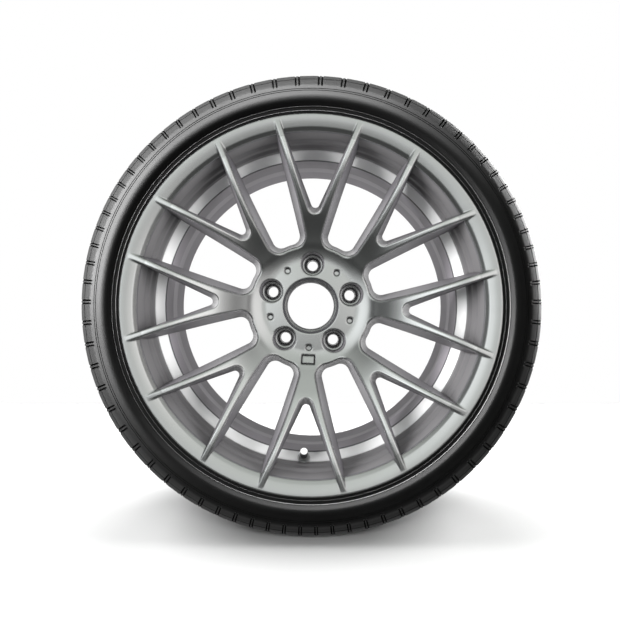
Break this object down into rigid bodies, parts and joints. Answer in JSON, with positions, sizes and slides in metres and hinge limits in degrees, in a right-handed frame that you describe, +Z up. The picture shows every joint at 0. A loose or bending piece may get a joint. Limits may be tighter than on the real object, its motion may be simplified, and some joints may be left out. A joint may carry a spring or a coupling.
{
  "type": "wheel and tyre assembly",
  "caption": "Cast alloy car wheel with forked spokes, open centre bore and bolt holes, fitted with a low-profile tubeless tyre and a clamp-in valve.",
  "frame": {"origin": "centre of the wheel, on its axis and midway between the rim's front and rear planes", "axes": "Y is the wheel's axis with the outer face towards -Y and the mounting face towards +Y, Z is up"},
  "size_m": [0.654, 0.256, 0.654],
  "materials": {
    "wheel_paint": "satin silver paint on cast aluminium",
    "tyre_rubber": "matt black rubber",
    "valve_metal": "turned and clear-anodised",
    "seal_rubber": "black moulded rubber",
    "core_brass": "plain turned brass",
    "cap_plastic": "pale grey moulded plastic"
  },
  "bodies": {
    "wheel": {"alloy_wheel": "wheel_paint", "tyre": "tyre_rubber", "valve_stem": "valve_metal", "valve_grommet": "seal_rubber", "valve_washer": "valve_metal", "valve_nut": "valve_metal", "valve_core": "core_brass"},
    "valve_cap": {"valve_cap": "cap_plastic"},
    "valve_pin": {"valve_pin": "core_brass"}
  },
  "joints": [
    {"name": "cap_off", "type": "slide", "parent": "wheel", "child": "valve_cap", "axis": [0, -0.7526, 0.6585], "range_m": [0, 0.012]},
    {"name": "pin_press", "type": "slide", "parent": "wheel", "child": "valve_pin", "axis": [0, 0.7526, -0.6585], "range_m": [0, 0.0012], "stiffness_N_per_m": 1500, "springref_m": -0.001}
  ]
}
